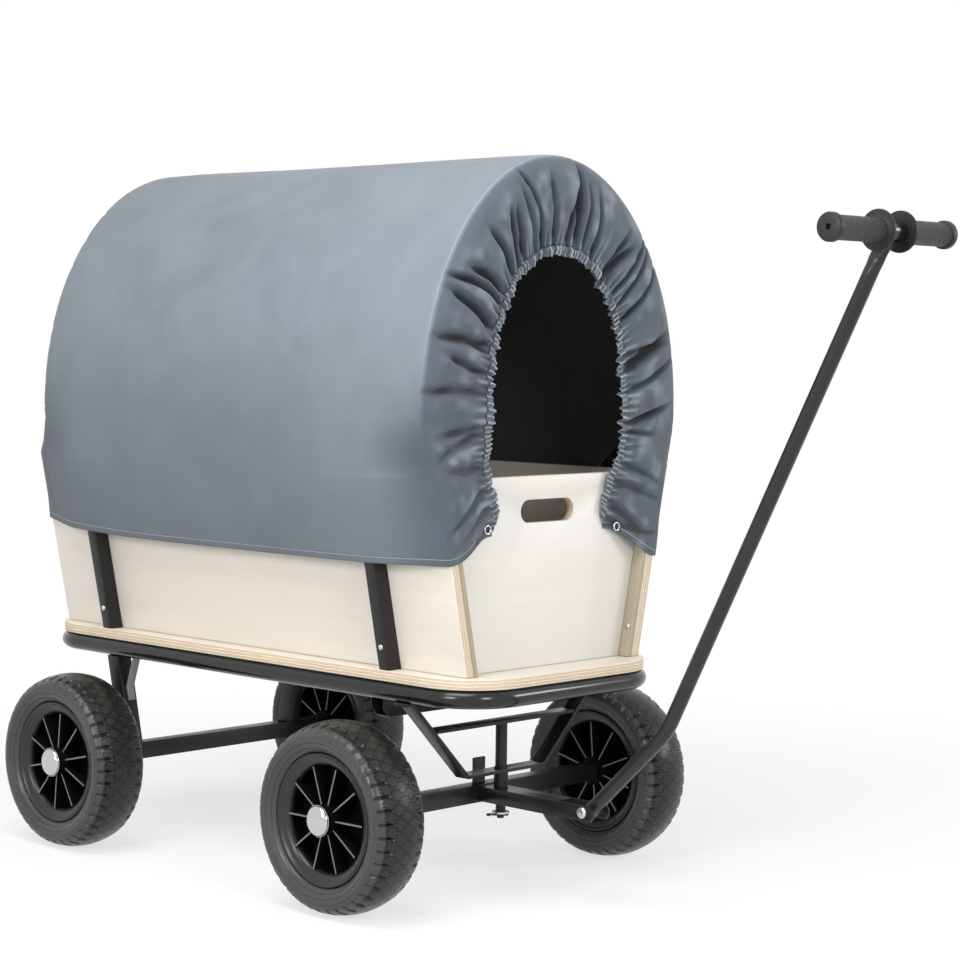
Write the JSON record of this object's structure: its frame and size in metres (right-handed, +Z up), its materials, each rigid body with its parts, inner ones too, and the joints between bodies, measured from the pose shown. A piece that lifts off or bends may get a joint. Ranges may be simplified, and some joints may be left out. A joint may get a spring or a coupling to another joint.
{
  "type": "hand-pulled wagon",
  "caption": "Hand-pulled wagon with a flared plywood box, a hooped fabric canopy, pneumatic wheels, a steered front axle and a tilting pull handle.",
  "frame": {"origin": "on the floor, below the middle of the wagon's length and width, with the handle as in the picture", "axes": "+X forward to the pulling handle, +Y to the wagon's left, +Z up"},
  "size_m": [1.483, 0.637, 1.027],
  "materials": {
    "black_steel": "gloss black powder coat",
    "grey_steel": "grey zinc-rich paint",
    "plywood": "clear-lacquered birch plywood",
    "batten_paint": "olive-beige stain",
    "canopy_cloth": "slate-blue coated woven cloth",
    "tyre_rubber": "matt black rubber",
    "rim_plastic": "moulded, satin black",
    "grip_plastic": "moulded, matt black",
    "nylon": "natural nylon",
    "chrome": "polished",
    "zinc": "bright zinc plate"
  },
  "bodies": {
    "frame": {"deck_rim": "black_steel", "front_crossbar": "black_steel", "rear_crossbar": "black_steel", "deck_board": "plywood", "side_panel_right": "plywood", "side_panel_left": "plywood", "front_panel": "plywood", "rear_panel": "plywood", "front_hoop": "black_steel", "rear_hoop": "black_steel", "canopy": "canopy_cloth", "hanger_strap": "black_steel", "cross_strap": "black_steel", "kingpin": "black_steel", "kingpin_washer": "zinc", "cotter_pin": "black_steel", "rear_axle_tube": "black_steel", "rear_axle_rod": "zinc", "rear_right_strut": "black_steel", "rear_left_strut": "black_steel", "rear_right_brace": "grey_steel", "rear_left_brace": "grey_steel", "front_right_batten": "batten_paint", "front_right_upright": "black_steel", "front_right_grommet": "chrome", "front_left_batten": "batten_paint", "front_left_upright": "black_steel", "front_left_grommet": "chrome", "rear_right_batten": "batten_paint", "rear_right_upright": "black_steel", "rear_right_grommet": "chrome", "rear_left_batten": "batten_paint", "rear_left_upright": "black_steel", "rear_left_grommet": "chrome"},
    "steering": {"front_axle_tube": "black_steel", "front_axle_rod": "zinc", "drawbar": "black_steel", "steering_bush": "black_steel", "pivot_bolt": "zinc"},
    "handle": {"handle_tube": "black_steel", "handle_bush": "zinc", "handle_crossbar": "black_steel", "right_grip": "grip_plastic", "left_grip": "grip_plastic"},
    "front_right_wheel": {"front_right_tyre": "tyre_rubber", "front_right_rim": "rim_plastic", "front_right_bush": "nylon", "front_right_cap": "chrome"},
    "front_left_wheel": {"front_left_tyre": "tyre_rubber", "front_left_rim": "rim_plastic", "front_left_bush": "nylon", "front_left_cap": "chrome"},
    "rear_right_wheel": {"rear_right_tyre": "tyre_rubber", "rear_right_rim": "rim_plastic", "rear_right_bush": "nylon", "rear_right_cap": "chrome"},
    "rear_left_wheel": {"rear_left_tyre": "tyre_rubber", "rear_left_rim": "rim_plastic", "rear_left_bush": "nylon", "rear_left_cap": "chrome"}
  },
  "joints": [
    {"name": "steering", "type": "hinge", "parent": "frame", "child": "steering", "pos_m": [0.07555, 0, 0.13], "axis": [0, 0, 1], "range_deg": [-46, 46]},
    {"name": "handle_tilt", "type": "hinge", "parent": "steering", "child": "handle", "pos_m": [0.24505, 0, 0.132], "axis": [0, 1, 0], "range_deg": [-26, 64]},
    {"name": "front_right_wheel_spin", "type": "hinge", "parent": "steering", "child": "front_right_wheel", "pos_m": [0.03655, -0.269, 0.13], "axis": [0, 1, 0], "continuous": true},
    {"name": "front_left_wheel_spin", "type": "hinge", "parent": "steering", "child": "front_left_wheel", "pos_m": [0.03655, 0.269, 0.13], "axis": [0, 1, 0], "continuous": true},
    {"name": "rear_right_wheel_spin", "type": "hinge", "parent": "frame", "child": "rear_right_wheel", "pos_m": [-0.56145, -0.269, 0.13], "axis": [0, 1, 0], "continuous": true},
    {"name": "rear_left_wheel_spin", "type": "hinge", "parent": "frame", "child": "rear_left_wheel", "pos_m": [-0.56145, 0.269, 0.13], "axis": [0, 1, 0], "continuous": true}
  ]
}
